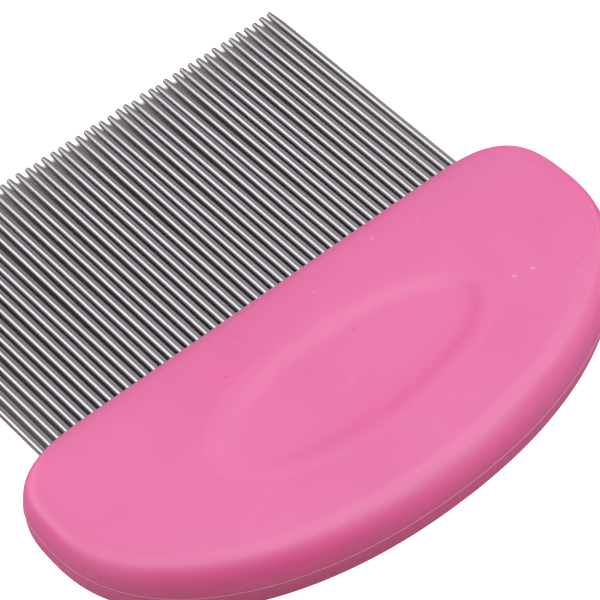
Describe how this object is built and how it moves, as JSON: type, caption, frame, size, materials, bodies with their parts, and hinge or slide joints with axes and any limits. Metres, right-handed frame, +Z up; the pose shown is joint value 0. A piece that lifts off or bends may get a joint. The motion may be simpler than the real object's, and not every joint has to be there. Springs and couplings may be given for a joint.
{
  "type": "flea comb",
  "caption": "Half-moon comb for combing fleas out of a pet's coat: a D-shaped plastic handle with finger recesses and a close row of long round steel pins.",
  "frame": {"origin": "middle of the comb's overall width and length, on the plane that the handle's lower face rests on", "axes": "+X along the row of pins, +Y the way the pins point, +Z up through the comb's thickness; the comb lies flat"},
  "size_m": [0.067, 0.0592, 0.0064],
  "materials": {
    "handle": "satin",
    "pin_bar": "matte",
    "pins": "polished"
  },
  "bodies": {
    "root": {"handle_upper_half": "handle", "handle_lower_half": "handle", "pin_bar": "pin_bar", "pin_01": "pins", "pin_02": "pins", "pin_03": "pins", "pin_04": "pins", "pin_05": "pins", "pin_06": "pins", "pin_07": "pins", "pin_08": "pins", "pin_09": "pins", "pin_10": "pins", "pin_11": "pins", "pin_12": "pins", "pin_13": "pins", "pin_14": "pins", "pin_15": "pins", "pin_16": "pins", "pin_17": "pins", "pin_18": "pins", "pin_19": "pins", "pin_20": "pins", "pin_21": "pins", "pin_22": "pins", "pin_23": "pins", "pin_24": "pins", "pin_25": "pins", "pin_26": "pins", "pin_27": "pins", "pin_28": "pins", "pin_29": "pins", "pin_30": "pins", "pin_31": "pins", "pin_32": "pins", "pin_33": "pins", "pin_34": "pins", "pin_35": "pins", "pin_36": "pins", "pin_37": "pins", "pin_38": "pins", "pin_39": "pins", "pin_40": "pins", "pin_41": "pins", "pin_42": "pins", "pin_43": "pins", "pin_44": "pins", "pin_45": "pins", "pin_46": "pins", "pin_47": "pins", "pin_48": "pins", "pin_49": "pins", "pin_50": "pins"}
  },
  "joints": []
}
